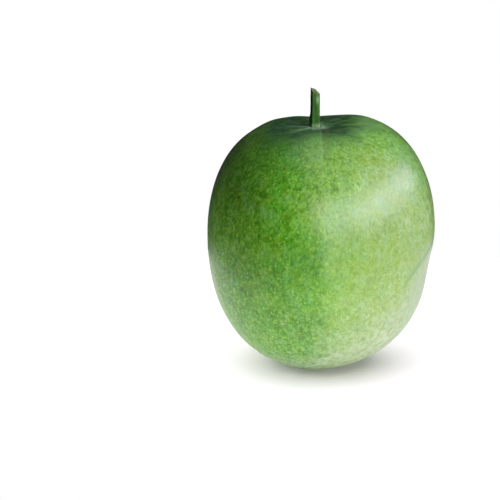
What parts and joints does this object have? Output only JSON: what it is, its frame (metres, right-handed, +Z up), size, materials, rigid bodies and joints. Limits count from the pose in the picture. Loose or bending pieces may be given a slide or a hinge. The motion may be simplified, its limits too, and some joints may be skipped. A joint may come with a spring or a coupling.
{
  "type": "wax gourd",
  "caption": "Whole round wax gourd with waxy speckled green rind and a short ribbed stem, standing upright on its blossom end.",
  "frame": {"origin": "on the surface that the fruit stands on, under the middle of the fruit", "axes": "+Z up, from the blossom end to the stem; -Y towards the viewer of the picture, +X to that viewer's right"},
  "size_m": [0.2273, 0.2279, 0.2806],
  "materials": {
    "rind": "satin",
    "stem": "matte"
  },
  "bodies": {
    "root": {"fruit": "rind", "stem": "stem"}
  },
  "joints": []
}
